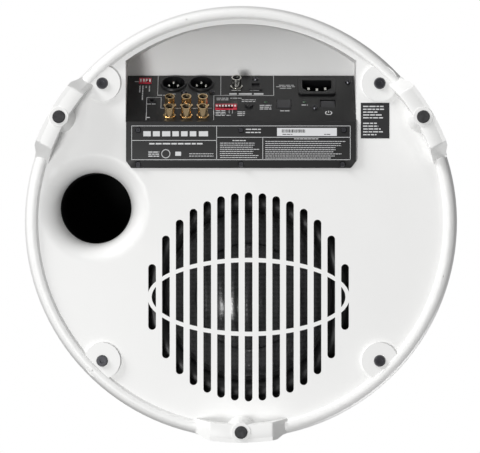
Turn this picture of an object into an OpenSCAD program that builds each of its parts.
// Round active subwoofer that stands on three feet. Its woofer, its port and its amplifier panel
// all face the floor. Millimetres. The origin is on the floor, on the body's axis; +Z is up and
// +Y is the rear, where the cables leave.

/* [Body] */
// Largest radius of the body
body_r = 181.5; // [180:0.5:184]
// Overall height, standing on its feet
body_h = 251; // [248:1:256]
// Height of the widest level
belly_z = 90; // [88:1:94]
// Squareness of the dome, where 2 is an ellipse
dome_power = 2.4; // [2.3:0.1:2.7]
// Wall of the upper shell
shell_t = 4; // [3:0.5:4]
// Height of the joint between the base casting and the upper shell
seam_z = 36; // [35:0.5:38]

/* [Base] */
// Radius of the lower rim
rim_r = 177.5; // [177:0.5:178]
// Height of the rim above the floor
rim_z = 20; // [18:0.5:21]
// Height of the underside plate above the floor
plate_z = 24.5; // [24:0.5:25]
// Thickness of the underside plate
plate_t = 4; // [3:0.5:4]
// Radius from the axis to each foot
foot_at_r = 172.8; // [171:0.2:173]
// Radius from the axis to each enclosure screw
screw_at_r = 162.2; // [161:0.2:163]
// Radius of the raised pad round each enclosure screw
pad_r = 15; // [14:0.5:15]

/* [Grille] */
// Distance of the grille's centre to the left of the axis, seen from the rear
grille_x = -6.3; // [-7:0.1:-5]
// Distance of the grille's centre in front of the axis
grille_y = -62; // [-63:0.5:-61]
// Radius of the circle that the slots fill
grille_r = 86.5; // [84:0.5:87]
// Distance between slots
slot_pitch = 11.4; // [11.2:0.1:11.6]
// Width of a slot
slot_w = 6.35; // [5:0.05:7]

/* [Port] */
// Bore radius of the port
port_r = 29.5; // [28:0.5:29.5]
// Wall of the port tube
port_t = 2.5; // [2:0.5:2.5]
// Place of the port's mouth along X
port_x = 120.8; // [119:0.2:121]
// Place of the port's mouth along Y
port_y = 11.5; // [10:0.5:13]

/* [Amplifier panel] */
// Half the width of the panel
panel_half = 95; // [94:0.5:95]
// Front edge of the panel
panel_front = 44.6; // [44:0.2:45]
// Place of the fold between the plate and the connector face
fold_y = 83; // [82:0.5:83]
// Slope of the connector face from the horizontal
face_tilt = 55; // [53:1:56]
// Length of the connector face down its slope
face_len = 70.6; // [69:0.2:71]

/* [Hidden] */
$fn = 64;

eps = 0.01;
plate_top = plate_z + plate_t;
gasket_t = 0.8;
shell_z = seam_z + gasket_t;
inner_r = 169;              // inside of the base casting's wall
leg_angles = [30, 150, 270];
screw_angles = [45, 135, 225, 315];
mark_angles = [75, 195, 315];
leg_r = body_r - 0.2;       // outside of a leg
leg_wall = 3;
foot_r = 5.2;
foot_stem_r = 3;
label_z = plate_z - 3.5;    // underside of the panel's plate
ring_z = 44;                // top of the ring that carries the woofer
frame_z = ring_z + 0.6;     // front face of the woofer's frame
pocket_half = panel_half + 0.4;
pocket_r = 164;             // rear wall of the cable pocket
pocket_wall = 3;
opening_half = 80;          // half width of the opening behind the panel's plate
back_half = 88;             // half width of the opening behind the connector face
deep_y = fold_y + face_len * cos(face_tilt);
deep_z = label_z + face_len * sin(face_tilt);
// The cove is an arc in the YZ plane from the face's deep edge to the rear wall.
cove_y = (pow(pocket_r, 2) - pow(deep_y, 2) - pow(deep_z - plate_z, 2))
         / (2 * (pocket_r - deep_y));
cove_r = pocket_r - cove_y;
cove_start = atan2(deep_z - plate_z, deep_y - cove_y);

// Port route: up from its mouth, a quarter turn, then round the body's axis.
port_run_z = 165;
port_bend_r = 40;
port_from_axis = norm([port_x, port_y]);
port_run_r = sqrt(pow(port_from_axis, 2) - pow(port_bend_r, 2));
port_angle = atan2(port_y, port_x);
port_run_start = port_angle + acos(port_run_r / port_from_axis);
port_run_end = 175;
port_joint = 0.05;          // gap at a joint between two moulded lengths
port_mouth_z = 50;          // where the mouth's flare ends and the tube begins
flare_r = 46.2;
collar_r = port_r + port_t + 2.5;

/* ---------- helpers ---------- */

function reversed(list) = [for (i = [len(list) - 1:-1:0]) list[i]];
function arc(cx, cy, r, a0, a1, n) =
    [for (i = [0:n]) let (a = a0 + (a1 - a0) * i / n) [cx + r * cos(a), cy + r * sin(a)]];
// Outside radius of the body below its widest level
function side_r(z) = body_r - 4 * pow((belly_z - z) / (belly_z - rim_z), 2);
// Half profile of the dome, a superellipse
function dome(a, b, n) = [for (i = [0:n]) let (t = 90 * i / n)
    [a * pow(cos(t), 2 / dome_power), belly_z + b * pow(sin(t), 2 / dome_power)]];

module at_polar(angle, r) { rotate(angle) translate([r, 0, 0]) children(); }
module at_woofer() { translate([grille_x, grille_y, 0]) children(); }
// Stands children on the underside: their x runs to the left of the object, their z to the floor.
module under(x, y, z) { translate([-x, y, z]) rotate([0, 180, 0]) children(); }
// Stands children on the connector face: y runs up its slope, z straight out of it.
module on_face(x, u) {
    translate([-x, fold_y, label_z]) rotate([face_tilt, 0, 0]) rotate([0, 180, 0])
        translate([0, u, 0]) children();
}
module tube(r_out, r_in, h) {
    difference() {
        cylinder(r = r_out, h = h);
        translate([0, 0, -1]) cylinder(r = r_in, h = h + 2);
    }
}
module ring(r_out, r_in, z0, z1) { translate([0, 0, z0]) tube(r_out, r_in, z1 - z0); }
module slab(w, d, z0, z1) {
    translate([-w / 2, -d / 2, z0]) cube([w, d, z1 - z0]);
}
module round_rect(w, d, r) {
    square([w - 2 * r, d], center = true);
    square([w, d - 2 * r], center = true);
    for (x = [-1, 1], y = [-1, 1]) translate([x * (w / 2 - r), y * (d / 2 - r)]) circle(r);
}

/* ---------- enclosure ---------- */

// Plan of a leg: its outer wall, whose ends run in to the rim
module leg_plan() {
    intersection() {
        circle(leg_r);
        polygon([[150, -34], [173.1, -38], [179.1, -29.6], [190, -29.6],
                 [190, 29.6], [179.1, 29.6], [173.1, 38], [150, 34]]);
    }
}

module upper_shell() color("white") {
    side = [for (i = [0:5]) shell_z + (belly_z - shell_z) * i / 6];
    outer = concat([for (z = side) [side_r(z), z]], dome(body_r, body_h - belly_z, 26));
    inner = concat([for (z = side) [side_r(z) - shell_t, z]],
                   dome(body_r - shell_t, body_h - belly_z - shell_t, 26));
    difference() {
        union() {
            rotate_extrude() polygon(concat(outer, reversed(inner)));
            ring(side_r(shell_z) - 2, inner_r, shell_z, shell_z + 4);
            for (a = screw_angles) rotate(a) {
                translate([screw_at_r, 0, shell_z]) cylinder(r = 8, h = 25);
                translate([screw_at_r + 4, -4, shell_z]) cube([176.5 - screw_at_r - 4, 8, 22]);
            }
            for (a = leg_angles) rotate(a) difference() {
                translate([0, 0, shell_z]) linear_extrude(36) leg_plan();
                translate([0, 0, shell_z - 1]) cylinder(r = 176.5, h = 38);
            }
        }
        for (a = screw_angles) at_polar(a, screw_at_r)
            translate([0, 0, shell_z - 1]) cylinder(r = 2.1, h = 21);
    }
}

module slots() {
    last = floor((grille_r - slot_w / 2) / slot_pitch);
    for (i = [-last:last]) let (half = sqrt(pow(grille_r - slot_w / 2, 2)
                                            - pow(i * slot_pitch, 2))) {
        translate([i * slot_pitch, 0]) square([slot_w, 2 * half], center = true);
        for (s = [-1, 1]) translate([i * slot_pitch, s * half]) circle(slot_w / 2);
    }
}
function ellipse(a, b, n) = [for (i = [0:n - 1]) let (t = 360 * i / n) [a * cos(t), b * sin(t)]];

// The rim, wall and plate are one turned dish.
module dish() {
    rotate_extrude() polygon([
        [0, plate_z], [167.6, plate_z], [168.6, rim_z + 2.6], [169.4, rim_z + 1],
        [171, rim_z + 0.2], [172.6, rim_z], [174.2, rim_z + 0.3], [175.8, rim_z + 1.2],
        [176.9, rim_z + 2.6], [rim_r + 0.1, rim_z + 4.6], [side_r(30), 30],
        [side_r(seam_z), seam_z], [inner_r, seam_z], [inner_r, plate_top], [0, plate_top]]);
}

module leg() {
    intersection() {
        translate([0, 0, 2]) linear_extrude(seam_z - 2.3) leg_plan();
        translate([150, 0, 0]) rotate([90, 0, 90]) linear_extrude(40)
            polygon([[-26, 2.6], [26, 2.6], [38.5, rim_z + 4], [38.5, 40],
                     [-38.5, 40], [-38.5, rim_z + 4]]);
        ring(leg_r + 1, 170.5, 0, 50);
    }
}
// Hollow of a leg, beside its foot post
module leg_hollow() {
    intersection() {
        ring(leg_r - leg_wall, 160, -1, plate_z + 0.1);
        translate([150, -27, -2]) cube([40, 54, 40]);
    }
}

module foot_post() {
    intersection() {
        translate([foot_at_r, 0, 2]) cylinder(r1 = 7.9, r2 = 13, h = plate_z);
        cylinder(r = leg_r - 0.4, h = plate_top);
    }
}

// Profile, in Y and Z, of the hollow that the connector face lines and the cables hang in
module pocket_section() {
    slope = [cos(face_tilt), sin(face_tilt)];
    sheet = [-sin(face_tilt), cos(face_tilt)] * 2.5;
    start = [fold_y, label_z] - 4 * slope;
    polygon(concat([[fold_y - 8, 10], start, start + sheet, [deep_y, deep_z] + sheet],
                   arc(cove_y, plate_z, cove_r, cove_start, 0, 18), [[pocket_r, 10]]));
}
module along_x(half) {
    translate([-half, 0, 0]) rotate([90, 0, 90]) linear_extrude(2 * half) children();
}
module pocket_block() {
    back = [-sin(face_tilt), cos(face_tilt)] * 5.5;
    deep = [deep_y, deep_z] + back;
    low = plate_z + 1;
    intersection() {
        along_x(pocket_half + pocket_wall)
            polygon(concat([[deep[0] - (deep[1] - low) / tan(face_tilt), low], deep],
                           arc(cove_y, plate_z, cove_r + pocket_wall, cove_start, 1, 18)));
        cylinder(r = pocket_r + pocket_wall, h = 100);
    }
}

module base_casting() color("white") {
    difference() {
        union() {
            difference() {
                union() {
                    dish();
                    for (a = leg_angles) rotate(a) leg();
                }
                for (a = leg_angles) rotate(a) leg_hollow();
            }
            for (a = leg_angles) rotate(a) foot_post();
            for (a = screw_angles) at_polar(a, screw_at_r) {
                translate([0, 0, rim_z + 1.6]) cylinder(r = pad_r, h = 4);
                translate([0, 0, plate_top - 1]) cylinder(r = 8, h = seam_z - plate_top + 0.5);
            }
            at_woofer() ring(104, 94, plate_top - 1, ring_z);
            translate([port_x, port_y, plate_z + 1]) {
                cylinder(r = collar_r, h = port_mouth_z + 5 - plate_z);
                cylinder(r1 = flare_r + 0.4, r2 = collar_r - 0.5, h = 22);
            }
            for (p = strip_screws_at) translate([-p[0], p[1], plate_top - 1]) cylinder(r = 4, h = 7);
            pocket_block();
        }
        at_woofer() translate([0, 0, plate_z - 1]) linear_extrude(plate_t + 2) difference() {
            slots();
            difference() {
                polygon(ellipse(83.7, 32.4, 72));
                polygon(ellipse(80.2, 28.8, 72));
            }
        }
        // Port: a flare, a straight bore and the step that the tube sits in
        translate([port_x, port_y, 0]) rotate_extrude() polygon(concat(
            [[0, plate_z - 1], [flare_r, plate_z - 1]],
            [for (i = [0:12]) let (t = 90 * i / 12)
                [flare_r - (flare_r - port_r) * sin(t),
                 port_mouth_z - (port_mouth_z - plate_z) * cos(t)]],
            [[0, port_mouth_z]]));
        translate([port_x, port_y, port_mouth_z - eps]) cylinder(r = port_r + port_t + 0.05, h = 9);
        // Blind marks in the rim, which index the casting in its jig
        for (a = mark_angles) at_polar(a, 173.4) translate([0, 0, rim_z - 1])
            cylinder(r = 0.75, h = 3, $fn = 16);
        // Opening behind the panel's plate, and the hollow in front of the connector face
        translate([-opening_half, panel_front + 9, plate_z - 1])
            cube([2 * opening_half, 36, plate_t + 3]);
        intersection() {
            along_x(pocket_half) pocket_section();
            cylinder(r = pocket_r, h = 100);
        }
        on_face(0, 0) translate([-back_half, 3, -9]) cube([2 * back_half, face_len - 5.6, 8]);
        face_at(face_screws_at[0]) translate([0, 0, -8]) cylinder(r = 1.5, h = 8);
        for (a = screw_angles) at_polar(a, screw_at_r)
            translate([0, 0, rim_z]) cylinder(r = 2.7, h = 20);
        for (a = leg_angles) at_polar(a, foot_at_r) {
            translate([0, 0, 1]) cylinder(r = foot_r + 0.1, h = 2.2);
            translate([0, 0, 1]) cylinder(r = foot_stem_r, h = 13);
        }
        at_woofer() for (a = [22.5:45:360]) at_polar(a, 98.5)
            translate([0, 0, ring_z - 12]) cylinder(r = 1.9, h = 13);
        for (p = strip_screws_at) translate([-p[0], p[1], plate_z - 1]) cylinder(r = 1.6, h = 9);
        for (x = [-85, 85]) translate([-x, 76, plate_z - 1]) cylinder(r = 1.6, h = 6);
    }
}

module shell_gasket() color("dimgray") ring(side_r(seam_z) - 0.9, inner_r + 1, seam_z, shell_z);

module rubber_feet() color([0.1, 0.1, 0.1]) for (a = leg_angles) at_polar(a, foot_at_r) {
    cylinder(r1 = foot_r - 0.5, r2 = foot_r, h = 0.8);
    translate([0, 0, 0.8 - eps]) cylinder(r = foot_r, h = 2.4 + eps);
    translate([0, 0, 3]) cylinder(r = foot_stem_r - 0.05, h = 10);
}

module socket_screw(head_r, head_h, shank_r, length) {
    difference() {
        union() {
            cylinder(r1 = head_r, r2 = head_r * 0.8, h = head_h);
            translate([0, 0, -length]) cylinder(r = shank_r, h = length + eps);
        }
        translate([0, 0, head_h * 0.4]) cylinder(r = head_r * 0.42, h = head_h, $fn = 6);
    }
}

module enclosure_screws() color([0.12, 0.12, 0.12])
    for (a = screw_angles) at_polar(a, screw_at_r)
        translate([0, 0, rim_z + 1.6]) rotate([180, 0, 0]) socket_screw(4.9, 2.2, 2, 34);

/* ---------- woofer, facing the floor ---------- */

module woofer_frame() color([0.15, 0.15, 0.16]) at_woofer() difference() {
    rotate_extrude() polygon([
        [88, frame_z], [102.5, frame_z], [102.5, frame_z + 4], [95.5, frame_z + 4],
        [73, 83], [66, 83], [66, 92], [60, 92], [60, 83], [50, 83], [50, 80],
        [71, 80], [91, frame_z + 4], [88, frame_z + 4]]);
    for (a = [0:60:300]) rotate(a - 21) rotate_extrude(angle = 42)
        translate([62, 53]) square([50, 24]);
    for (a = [22.5:45:360]) at_polar(a, 98.5)
        translate([0, 0, frame_z - 1]) cylinder(r = 2.3, h = 6);
}

module woofer_gasket() color("dimgray") at_woofer() difference() {
    ring(103, 95, ring_z, frame_z);
    for (a = [22.5:45:360]) at_polar(a, 98.5) translate([0, 0, ring_z - 1]) cylinder(r = 2.3, h = 3);
}

module woofer_screws() color([0.12, 0.12, 0.12]) at_woofer()
    for (a = [22.5:45:360]) at_polar(a, 98.5)
        translate([0, 0, frame_z + 4]) socket_screw(2.9, 2.2, 1.8, 15);

module surround() color([0.08, 0.08, 0.08]) at_woofer() rotate_extrude() union() {
    difference() {
        translate([78.75, ring_z]) circle(9.25);
        translate([78.75, ring_z]) circle(8.25);
        translate([60, ring_z]) square([40, 12]);
    }
    translate([87.4, ring_z - 0.6]) square([6, 1.2]);
    translate([66, ring_z - 0.6]) square([4.1, 1]);
}

module woofer_cone() color([0.1, 0.1, 0.11]) at_woofer() rotate_extrude()
    polygon([[25.65, 72.6], [66, 44.4], [70.2, 44.4], [70.2, 45.4], [66.4, 45.9], [25.65, 74.4]]);

module dust_cap() color([0.1, 0.1, 0.11]) at_woofer() rotate_extrude() intersection() {
    difference() {
        translate([0, 145.6]) circle(97.5, $fn = 180);
        translate([0, 145.6]) circle(96.5, $fn = 180);
    }
    translate([0, 40]) square([43.9, 20]);
}

module voice_coil() color([0.72, 0.45, 0.2]) at_woofer() {
    ring(25.6, 25, 72.6, 108);
    ring(26.4, 25.5, 84, 107.5);
}

module spider() color([0.75, 0.62, 0.3]) at_woofer() {
    top = [for (i = [0:9]) [25.6 + i * 2.5, i % 2 == 0 ? 79.6 : 77.8]];
    rotate_extrude() polygon(concat(top, [[50, 80], [58, 80], [58, 79.2], [50, 79.2]],
                                    [for (p = reversed(top)) p - [0, 0.8]]));
}

module top_plate() color("silver") at_woofer() ring(66, 27, 92, 100);
module magnet() color([0.2, 0.2, 0.21]) at_woofer() ring(70, 32, 100, 120);
module back_plate() color("silver") at_woofer() difference() {
    union() {
        translate([0, 0, 120]) cylinder(r = 66, h = 8);
        translate([0, 0, 92]) cylinder(r = 24.4, h = 29);
    }
    translate([0, 0, 90]) cylinder(r = 6, h = 40);
}

module woofer_terminals() color([0.85, 0.7, 0.3]) at_woofer() {
    translate([-9, 66.4, 83]) cube([18, 7.2, 1.6]);
    for (x = [-6, 3]) translate([x, 69, 84.5]) cube([3, 0.8, 8]);
}

// Points of a smooth curve through a route
function smooth(p, n) = [for (i = [0:len(p) - 2], k = [0:n - 1]) let (
    a = p[max(i - 1, 0)], b = p[i], c = p[i + 1], d = p[min(i + 2, len(p) - 1)], t = k / n)
    0.5 * (2 * b + (c - a) * t + (2 * a - 5 * b + 4 * c - d) * t * t
           + (3 * b - a - 3 * c + d) * t * t * t)];
module sweep(path, r, sides) {
    n = len(path);
    points = [for (i = [0:n - 1]) let (
        along = path[min(i + 1, n - 1)] - path[max(i - 1, 0)],
        t = along / norm(along), side0 = cross(t, [1, 0, 0]), side = side0 / norm(side0),
        up = cross(side, t))
        for (k = [0:sides - 1]) path[i] + r * (cos(360 * k / sides) * side
                                               + sin(360 * k / sides) * up)];
    walls = [for (i = [0:n - 2], k = [0:sides - 1]) let (k2 = (k + 1) % sides)
        [i * sides + k, i * sides + k2, (i + 1) * sides + k2, (i + 1) * sides + k]];
    polyhedron(points, concat([[for (k = [sides - 1:-1:0]) k]], walls,
                              [[for (k = [0:sides - 1]) (n - 1) * sides + k]]));
}
cable_route = [[-11, 9.2, 87], [-11, 10.5, 93], [-11, 17, 102], [-11, 32, 113], [-10, 50, 116],
               [-9, 66, 110], [-8.5, 79, 96], [-8, 87.6, 86], [-8, 94.6, 81.2]];
module woofer_cable() color([0.7, 0.1, 0.1]) for (x = [0, 6])
    translate([x, 0, 0]) sweep(smooth(cable_route, 4), 1.3, 8);

/* ---------- port ---------- */

module port_section(r_out, r_in) difference() { circle(r_out); circle(r_in); }

module port_tube() color([0.08, 0.08, 0.08]) {
    r_out = port_r + port_t;
    bend_z = port_run_z - port_bend_r;
    translate([port_x, port_y, 0]) {
        ring(r_out, port_r, port_mouth_z, bend_z - port_joint);
        rotate(port_run_start + 90) translate([port_bend_r, 0, bend_z]) rotate([90, 0, 180])
            rotate_extrude(angle = 90) translate([port_bend_r, 0]) port_section(r_out, port_r);
    }
    rotate(port_run_start + port_joint) translate([0, 0, port_run_z])
        rotate_extrude(angle = port_run_end - port_run_start - port_joint)
            translate([port_run_r, 0]) port_section(r_out, port_r);
}

module port_end_flare() color([0.08, 0.08, 0.08]) {
    collar = port_r + port_t;
    rotate(port_run_end) translate([port_run_r, 0, port_run_z]) rotate([-90, 0, 0])
        rotate_extrude() polygon(concat(
            [[collar + 0.15, -5], [collar + 2.5, -5], [collar + 2.5, 0]],
            arc(39.5, 0, 39.5 - collar - 2.5, 180, 90, 6),
            [[39.5, 7.5]],
            arc(39.5, 0, 39.5 - port_r, 90, 180, 8), [[port_r, 0], [collar + 0.15, 0]]));
}

/* ---------- amplifier panel ---------- */

xlr_at = [[-56.5, 57], [-33.2, 57]];
rca_at = [for (x = [-59.1, -45.3, -31.6], u = [8, 23]) [x, u]];
digital_at = [-3.7, 52];
optical_at = [12.3, 54];
control_at = [-74.2, 31];
channel_at = [-80.3, 62];
setup_at = [-12.4, 22];
knob_at = [6.7, 24];
select_at = [35.8, 26.5];
power_at = [72.3, 27.3];
inlet_at = [63.6, 52];
lights_at = [[20.6, 29.6], [52.9, 29.6]];
face_screws_at = [[89.8, 60], [61.3, 20.9], [-47.6, 44.3], [-24.4, 44.3], [12.3, 64.5]];
plate_screws_at = [for (x = [-85, 0, 85]) [x, 76]];
strip_screws_at = [for (x = [-85, 0, 84]) [x, 47.8]];
switch_pitch = 2.54;

module face_at(p) { on_face(p[0], p[1]) children(); }
module cut_round(p, r) { face_at(p) translate([0, 0, -4]) cylinder(r = r, h = 8); }
module cut_rect(p, w, d) { face_at(p) slab(w, d, -4, 4); }

module amp_panel() color([0.13, 0.13, 0.13]) difference() {
    slope = [cos(face_tilt), sin(face_tilt)];
    inward = [-sin(face_tilt), cos(face_tilt)] * 2;
    fold = [fold_y, label_z];
    rise = (3 - inward[1]) / slope[1];
    // One bent sheet, whose front strip slopes up to the casting
    along_x(panel_half) polygon([
        [panel_front, label_z + 2], [panel_front + 6.6, label_z], fold,
        fold + slope * (face_len - 0.4), fold + slope * (face_len - 0.4) + inward,
        fold + inward + slope * rise, [panel_front, label_z + 3]]);
    for (s = [-1, 1]) translate([0, 0, label_z - 1]) linear_extrude(6)
        polygon([[s * (panel_half - 5), panel_front - 1], [s * (panel_half + 1), panel_front + 7],
                 [s * (panel_half + 1), panel_front - 1]]);
    for (p = xlr_at) cut_round(p, 10.25);
    for (p = rca_at) cut_round(p, 4.2);
    cut_round(digital_at, 4.2);
    cut_round(control_at, 3.1);
    cut_round(knob_at, 3.6);
    for (p = lights_at) cut_round(p, 1.6);
    cut_rect(optical_at, 9.8, 11.8);
    cut_rect(channel_at, 4 * switch_pitch + 0.6, 8.6);
    cut_rect(setup_at, 7 * switch_pitch + 0.6, 8.6);
    cut_rect(select_at, 12, 13);
    cut_rect(power_at, 12.7, 11.4);
    cut_rect(inlet_at, 27.7, 20.2);
    for (p = face_screws_at) cut_round(p, 1.5);
    for (p = concat(plate_screws_at, strip_screws_at))
        translate([-p[0], p[1], label_z - 1]) cylinder(r = 1.7, h = 6);
    for (p = strip_screws_at) translate([-p[0], p[1], label_z - 1]) cylinder(r = 2.9, h = 2);
}

module amp_gasket() color("dimgray") {
    difference() {
        translate([0, 0, label_z + 3]) linear_extrude(0.5) difference() {
            polygon([[-88, panel_front + 0.6], [88, panel_front + 0.6], [93.4, panel_front + 6],
                     [93.4, fold_y - 2.6], [-93.4, fold_y - 2.6], [-93.4, panel_front + 6]]);
            translate([-80.5, panel_front + 7]) square([161, 40]);
        }
        for (p = concat(plate_screws_at, strip_screws_at))
            translate([-p[0], p[1], label_z]) cylinder(r = 1.7, h = 6);
    }
    on_face(0, 0) {
        for (s = [-1, 1]) translate([s * 92.9 - 1.4, 5, -2.48]) cube([2.8, face_len - 6, 0.48]);
        translate([-92, face_len - 3, -2.48]) cube([184, 2, 0.48]);
    }
}

module pan_screw(length) {
    difference() {
        union() {
            cylinder(r1 = 2.6, r2 = 1.9, h = 1.5);
            translate([0, 0, -length]) cylinder(r = 1.4, h = length + eps);
        }
        for (a = [0, 90]) rotate(a) translate([-1.3, -0.25, 0.7]) cube([2.6, 0.5, 2]);
    }
}
module panel_screws() color([0.12, 0.12, 0.12]) {
    for (p = face_screws_at) face_at(p) pan_screw(5);
    for (p = plate_screws_at) under(p[0], p[1], label_z) pan_screw(6);
    for (p = strip_screws_at) under(p[0], p[1], label_z + 1) pan_screw(9);
}

module info_sticker() color([0.16, 0.16, 0.16])
    under(110.9, 83.9, plate_z) slab(23.6, 29.4, 0, 0.3);
module serial_sticker() color([0.85, 0.86, 0.86])
    under(54.5, 74.4, label_z) slab(49.4, 6.6, 0, 0.2);

// Outline of the inlet's cavity, whose two lower corners are cut off
module inlet_hole(grow) {
    w = 12.2 + grow;
    h = 8.4 + grow;
    polygon([[-w, h], [w, h], [w, -h + 5], [w - 5, -h], [-w + 5, -h], [-w, -h + 5]]);
}
module mains_inlet() color([0.08, 0.08, 0.08]) face_at(inlet_at) difference() {
    union() {
        linear_extrude(1.8) round_rect(31, 24.5, 3);
        slab(27.5, 20, -20, eps);
    }
    translate([0, 0, -15]) linear_extrude(20) inlet_hole(0);
}
module mains_pins() color("silver") face_at(inlet_at)
    for (p = [[-7, -0.4], [0, -1.8], [7, -0.4]]) translate([p[0], p[1], 0]) slab(2, 4, -24, -1);

module xlr_sockets() color([0.08, 0.08, 0.08]) for (p = xlr_at) face_at(p) difference() {
    union() {
        cylinder(r1 = 11.2, r2 = 10.4, h = 1.6);
        translate([0, 0, -14]) cylinder(r = 10.2, h = 14 + eps);
    }
    translate([0, 0, -12.5]) cylinder(r = 9.4, h = 20);
    for (q = [[-3.8, -1.6], [3.8, -1.6], [0, 2.8]])
        translate([q[0], q[1], -15]) cylinder(r = 1.2, h = 4);
}
module xlr_pins() color([0.8, 0.8, 0.78]) for (p = xlr_at) face_at(p)
    for (q = [[-3.8, -1.6], [3.8, -1.6], [0, 2.8]]) translate([q[0], q[1], -15]) {
        cylinder(r = 1.2, h = 14.4);
        translate([0, 0, 14.4 - eps]) cylinder(r1 = 1.2, r2 = 0.7, h = 0.8);
    }

module jack_shell() {
    difference() {
        union() {
            cylinder(r = 5.4, h = 1.4, $fn = 6);
            cylinder(r = 4.15, h = 10);
            translate([0, 0, -9]) cylinder(r = 4.1, h = 9 + eps);
        }
        translate([0, 0, -10]) cylinder(r = 3.2, h = 22);
    }
}
module rca_jacks() color([0.83, 0.62, 0.25]) for (p = rca_at) face_at(p) jack_shell();
module digital_jack() color([0.75, 0.75, 0.73]) face_at(digital_at) jack_shell();
module jack_inserts() color([0.1, 0.1, 0.1]) for (p = concat(rca_at, [digital_at])) face_at(p)
    difference() {
        translate([0, 0, -9]) cylinder(r = 3.15, h = 17.6);
        translate([0, 0, 1]) cylinder(r = 1.6, h = 12);
    }

door_pivot_u = 2.5;
door_pivot_z = -0.9;
module optical_socket() color([0.07, 0.07, 0.07]) face_at(optical_at) difference() {
    union() {
        slab(9.4, 11.4, -13, eps);
        slab(11, 13, 0, 0.9);
    }
    slab(6.4, 6.5, -9.5, 3);
    translate([-3.9, door_pivot_u, door_pivot_z]) rotate([0, 90, 0]) cylinder(r = 0.42, h = 7.8);
}
module optical_shutter() color([0.2, 0.2, 0.2]) face_at(optical_at) {
    translate([-2.85, -2.85, door_pivot_z - 0.3]) cube([5.7, door_pivot_u + 3.15, 0.6]);
    translate([-3.8, door_pivot_u, door_pivot_z]) rotate([0, 90, 0]) cylinder(r = 0.35, h = 7.6);
}

module control_jack() color([0.07, 0.07, 0.07]) face_at(control_at) difference() {
    union() {
        cylinder(r = 3.8, h = 0.8);
        translate([0, 0, -12]) cylinder(r = 3, h = 12 + eps);
    }
    translate([0, 0, -10]) cylinder(r = 1.8, h = 12);
}

// Slots of a bank of slide switches, counted from its left end
module switch_body(count) {
    difference() {
        slab(count * switch_pitch + 0.2, 8.2, -6, 0.5);
        for (i = [0:count - 1]) translate([switch_pitch * (i - (count - 1) / 2), 0, 0])
            slab(1.8, 6.1, -1.2, 2);
    }
}
module channel_switch() color([0.72, 0.05, 0.1]) face_at(channel_at) switch_body(4);
module setup_switch() color([0.72, 0.05, 0.1]) face_at(setup_at) switch_body(7);
// Levers rest at the upper end of their slots and slide down by 2 mm.
module lever(n) color("white") {
    bank = n <= 4 ? channel_at : setup_at;
    count = n <= 4 ? 4 : 7;
    i = n <= 4 ? n - 1 : n - 5;
    face_at(bank) translate([switch_pitch * (i - (count - 1) / 2), 1, 0]) {
        slab(1.35, 3.4, -0.9, 0.5);
        slab(1.35, 1.6, 0.4, 1.1);
    }
}

module level_pot() color([0.2, 0.25, 0.35]) face_at(knob_at) difference() {
    slab(10, 10, -10, -2.1);
    translate([0, 0, -8]) cylinder(r = 2.06, h = 10);
}
module level_knob() color([0.1, 0.1, 0.1]) face_at(knob_at) difference() {
    union() {
        translate([0, 0, -1.6]) cylinder(r = 3.2, h = 3.1);
        translate([0, 0, -7.5]) cylinder(r = 2, h = 6);
    }
    translate([-0.4, -3.5, 0.7]) cube([0.8, 7, 2]);
}

module button(w, d, top) {
    slab(w, d, -6, top);
    slab(w + 2, d + 2, -3.6, -2.4);
}
module select_button() color([0.09, 0.09, 0.09]) face_at(select_at) button(11.4, 12.4, 0.4);
module power_button() color([0.09, 0.09, 0.09]) face_at(power_at) button(12.1, 10.8, -0.6);
module button_switches() color([0.2, 0.2, 0.2]) {
    face_at(select_at) slab(8, 8, -14, -8);
    face_at(power_at) slab(8, 8, -15, -9);
}
module status_lights() color([0.3, 0.6, 0.35]) for (p = lights_at) face_at(p) {
    translate([0, 0, -6]) cylinder(r = 1.5, h = 6);
    translate([0, 0, -eps]) cylinder(r1 = 1.5, r2 = 0.9, h = 0.5);
}

/* ---------- electronics ---------- */

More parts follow.
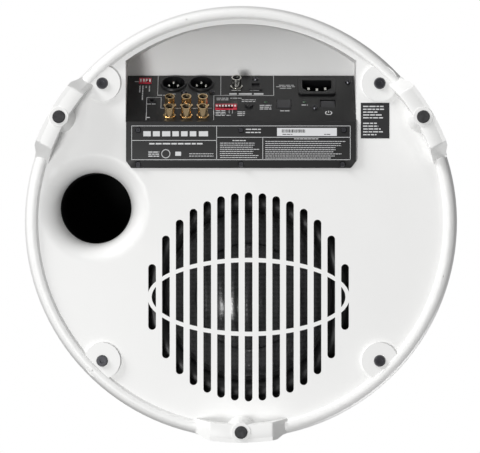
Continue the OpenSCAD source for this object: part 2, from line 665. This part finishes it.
module main_board() color([0.1, 0.35, 0.2]) difference() {
    on_face(0, 0) {
        translate([-86, 4, -16.6]) cube([130, 60, 1.6]);
        translate([-36, 40, -24]) cube([24, 14, 7.41]);
        translate([-70, 36, -20]) cube([14, 20, 3.41]);
        translate([-1, 52, -24.8]) cube([12, 9, 8.21]);
    }
    for (p = xlr_at) face_at(p) translate([0, 0, -18]) cylinder(r = 6, h = 4);
}
module board_posts() color("silver") {
    for (x = [6, 74], y = [57, 67]) translate([-x, y, label_z + 3]) cylinder(r = 2.5, h = 11);
    for (p = [[-82, 8], [-82, 48], [40, 8], [40, 60]])
        face_at(p) translate([0, 0, -15]) cylinder(r = 2.5, h = 13);
}
module power_board() color([0.1, 0.35, 0.2])
    translate([-80, 50, label_z + 14]) cube([80, 21, 1.6]);
module heat_sink() color([0.6, 0.6, 0.6]) translate([6, 54.4, label_z + 3]) {
    cube([66, 16, 4]);
    for (i = [0:10]) translate([i * 6.4, 0, 3.9]) cube([2, 16, 14]);
}
module transformer() color([0.8, 0.7, 0.3]) translate([-49, 51, label_z + 15.6]) {
    cube([30, 19, 26]);
    translate([-4, 3, 4]) cube([38, 13, 18]);
}
module filter_capacitors() color([0.15, 0.15, 0.3]) for (x = [-70, -7])
    translate([x, 61, label_z + 15.6]) cylinder(r = 7, h = 30);

upper_shell();
base_casting();
shell_gasket();
rubber_feet();
enclosure_screws();
woofer_frame();
woofer_gasket();
woofer_screws();
surround();
woofer_cone();
dust_cap();
voice_coil();
spider();
top_plate();
magnet();
back_plate();
woofer_terminals();
woofer_cable();
port_tube();
port_end_flare();
amp_panel();
amp_gasket();
panel_screws();
info_sticker();
serial_sticker();
mains_inlet();
mains_pins();
xlr_sockets();
xlr_pins();
rca_jacks();
digital_jack();
jack_inserts();
optical_socket();
optical_shutter();
control_jack();
channel_switch();
setup_switch();
level_pot();
level_knob();
select_button();
power_button();
button_switches();
status_lights();
main_board();
power_board();
board_posts();
heat_sink();
transformer();
filter_capacitors();
for (i = [1:11]) lever(i);
